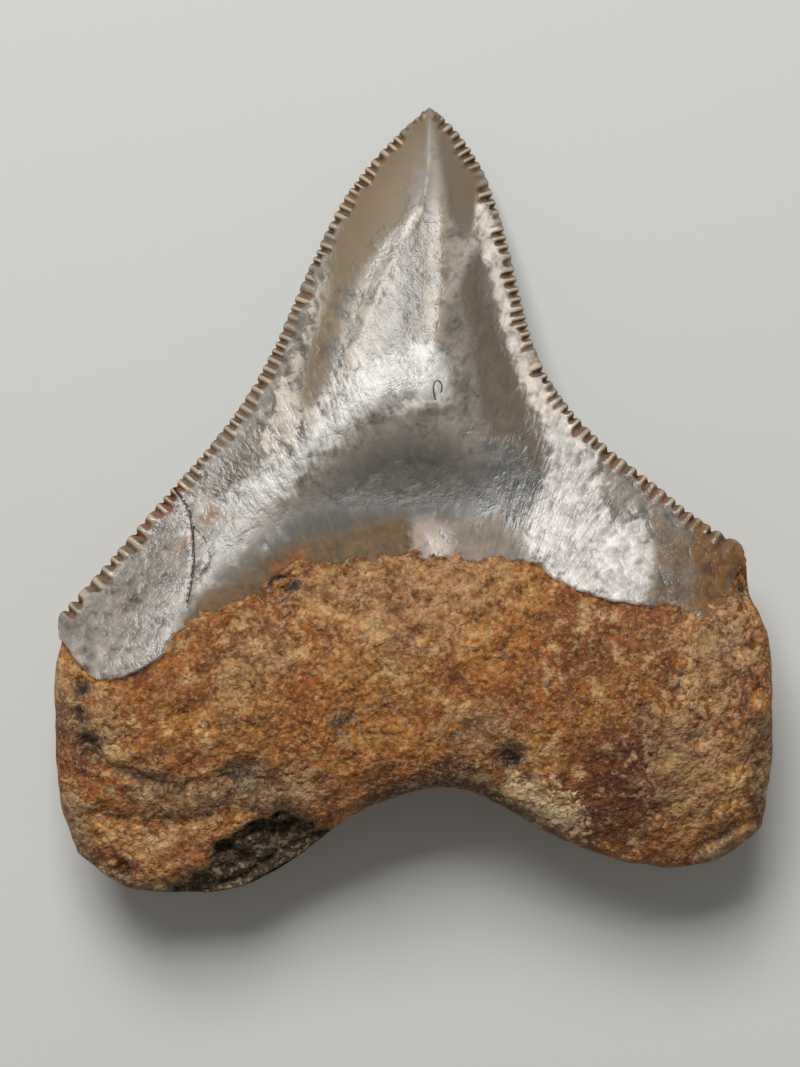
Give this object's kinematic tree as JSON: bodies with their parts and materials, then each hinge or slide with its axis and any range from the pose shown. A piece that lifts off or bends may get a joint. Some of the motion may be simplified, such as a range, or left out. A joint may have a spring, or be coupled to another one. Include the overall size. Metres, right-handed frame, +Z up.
{
  "type": "fossil shark tooth",
  "caption": "Large triangular fossil shark tooth with serrated cutting edges and a forked root, lying flat on its curved face.",
  "frame": {"origin": "under the middle of the tooth's outline, on the surface it lies on", "axes": "+Y to the tip of the crown, +X to the right seen from above, +Z up out of the labial face"},
  "size_m": [0.06, 0.0664, 0.0148],
  "materials": {
    "fossil_tooth": "glossy grey and tan enamel over a matt orange-brown root"
  },
  "bodies": {
    "root": {"tooth": "fossil_tooth"}
  },
  "joints": []
}
